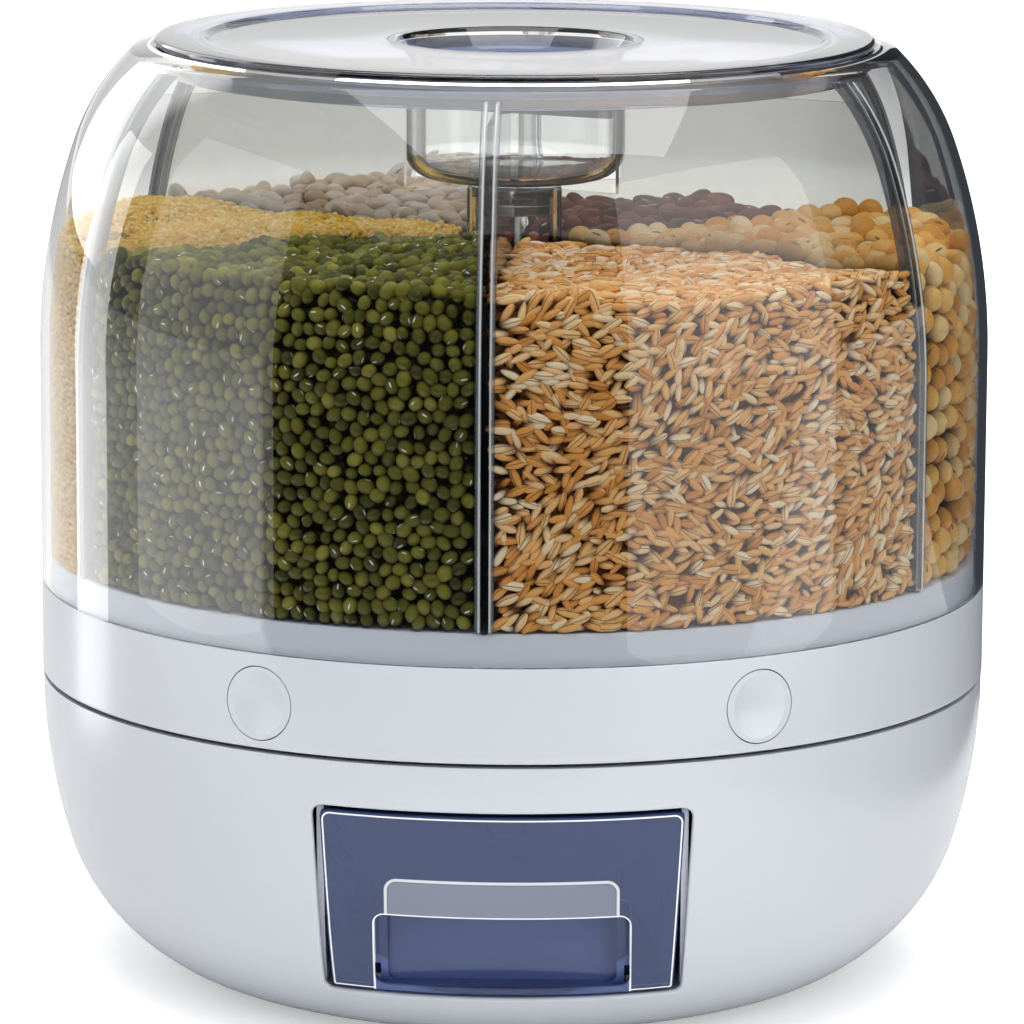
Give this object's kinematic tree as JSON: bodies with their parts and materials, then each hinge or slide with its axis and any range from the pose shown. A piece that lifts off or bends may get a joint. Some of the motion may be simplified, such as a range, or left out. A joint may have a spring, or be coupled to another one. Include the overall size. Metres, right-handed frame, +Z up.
{
  "type": "rotating grain dispenser",
  "caption": "Round clear canister with six wedges of grain that turns on a white base with push-button outlets, a smoked drawer and a lift-off lid with a finger cup.",
  "frame": {"origin": "on the table, under the centre of the base", "axes": "+Z up along the axis that the canister turns about; the drawer opens towards -Y"},
  "size_m": [0.29, 0.29, 0.2893],
  "materials": {
    "white_abs": "white moulded ABS, satin gloss",
    "white_inner": "white moulded ABS, unpolished inside",
    "clear_san": "water-clear moulded SAN, polished",
    "clear_lid": "pale translucent moulded plastic, polished",
    "smoke_clear": "smoky blue-grey transparent plastic, polished",
    "smoke_grip": "smoke-grey transparent plastic",
    "tray_grey": "pale blue-grey moulded plastic",
    "acetal": "natural white acetal",
    "silicone": "translucent silicone",
    "black_rubber": "black moulded rubber",
    "steel": "plain bright steel",
    "oats": "loose husked oats, rigid heap at the density of poured grain",
    "soybeans": "loose dry soybeans, rigid heap at the density of poured grain",
    "red_beans": "loose dry red-brown beans, rigid heap at the density of poured grain",
    "beige_beans": "loose dry beige beans, rigid heap at the density of poured grain",
    "millets": "loose hulled yellow millet, rigid heap at the density of poured grain",
    "mung_beans": "loose dry green mung beans, rigid heap at the density of poured grain"
  },
  "bodies": {
    "base": {"base_shell": "white_abs", "rubber_feet": "black_rubber", "base_deck": "white_inner", "deck_screws": "steel", "chute": "white_inner", "drawer_bay": "white_inner", "lower_race": "steel", "spindle": "acetal", "spindle_washer": "steel", "spindle_screw": "steel"},
    "ball_ring": {"ball_cage": "acetal", "bearing_balls": "steel"},
    "drawer": {"drawer_front": "smoke_clear", "drawer_bin": "smoke_clear"},
    "rotor": {"turn_ring": "white_abs", "upper_race": "steel", "floor_tray": "tray_grey", "tray_screws": "steel", "barrel": "clear_san", "centre_column": "clear_san", "column_cap": "clear_san", "divider_1": "clear_san", "divider_2": "clear_san", "divider_3": "clear_san", "divider_4": "clear_san", "divider_5": "clear_san", "divider_6": "clear_san", "oat_heap": "oats", "soybean_heap": "soybeans", "red_bean_heap": "red_beans", "beige_bean_heap": "beige_beans", "millet_heap": "millets", "mung_bean_heap": "mung_beans", "gate_spring_1": "steel", "gate_spring_2": "steel", "gate_spring_3": "steel", "gate_spring_4": "steel", "gate_spring_5": "steel", "gate_spring_6": "steel"},
    "lid": {"lid_disc": "clear_lid", "lid_cup": "clear_san", "grip_bar": "smoke_grip", "lid_seal": "silicone"},
    "push_gate_1": {"button_1": "white_abs", "gate_1": "acetal"},
    "push_gate_2": {"button_2": "white_abs", "gate_2": "acetal"},
    "push_gate_3": {"button_3": "white_abs", "gate_3": "acetal"},
    "push_gate_4": {"button_4": "white_abs", "gate_4": "acetal"},
    "push_gate_5": {"button_5": "white_abs", "gate_5": "acetal"},
    "push_gate_6": {"button_6": "white_abs", "gate_6": "acetal"}
  },
  "joints": [
    {"name": "rotor_spin", "type": "hinge", "parent": "base", "child": "rotor", "pos_m": [0, 0, 0.1], "axis": [0, 0, 1], "continuous": true},
    {"name": "ball_ring_spin", "type": "hinge", "parent": "base", "child": "ball_ring", "pos_m": [0, 0, 0.0962], "axis": [0, 0, 1], "continuous": true},
    {"name": "drawer_slide", "type": "slide", "parent": "base", "child": "drawer", "axis": [0, -1, 0], "range_m": [0, 0.08]},
    {"name": "lid_lift", "type": "slide", "parent": "rotor", "child": "lid", "axis": [0, 0, 1], "range_m": [0, 0.12]},
    {"name": "push_1", "type": "slide", "parent": "rotor", "child": "push_gate_1", "axis": [0.4886, 0.8725, 0], "range_m": [0, 0.01], "stiffness_N_per_m": 300, "springref_m": -0.004, "deforming": ["gate_spring_1"]},
    {"name": "push_2", "type": "slide", "parent": "rotor", "child": "push_gate_2", "axis": [-0.5113, 0.8594, 0], "range_m": [0, 0.01], "stiffness_N_per_m": 300, "springref_m": -0.004, "deforming": ["gate_spring_2"]},
    {"name": "push_3", "type": "slide", "parent": "rotor", "child": "push_gate_3", "axis": [-0.9999, -0.0131, 0], "range_m": [0, 0.01], "stiffness_N_per_m": 300, "springref_m": -0.004, "deforming": ["gate_spring_3"]},
    {"name": "push_4", "type": "slide", "parent": "rotor", "child": "push_gate_4", "axis": [-0.4886, -0.8725, 0], "range_m": [0, 0.01], "stiffness_N_per_m": 300, "springref_m": -0.004, "deforming": ["gate_spring_4"]},
    {"name": "push_5", "type": "slide", "parent": "rotor", "child": "push_gate_5", "axis": [0.5113, -0.8594, 0], "range_m": [0, 0.01], "stiffness_N_per_m": 300, "springref_m": -0.004, "deforming": ["gate_spring_5"]},
    {"name": "push_6", "type": "slide", "parent": "rotor", "child": "push_gate_6", "axis": [0.9999, 0.0131, 0], "range_m": [0, 0.01], "stiffness_N_per_m": 300, "springref_m": -0.004, "deforming": ["gate_spring_6"]}
  ],
  "couplings": [
    {"joint": "ball_ring_spin", "follows": "rotor_spin", "ratio": 0.5}
  ]
}
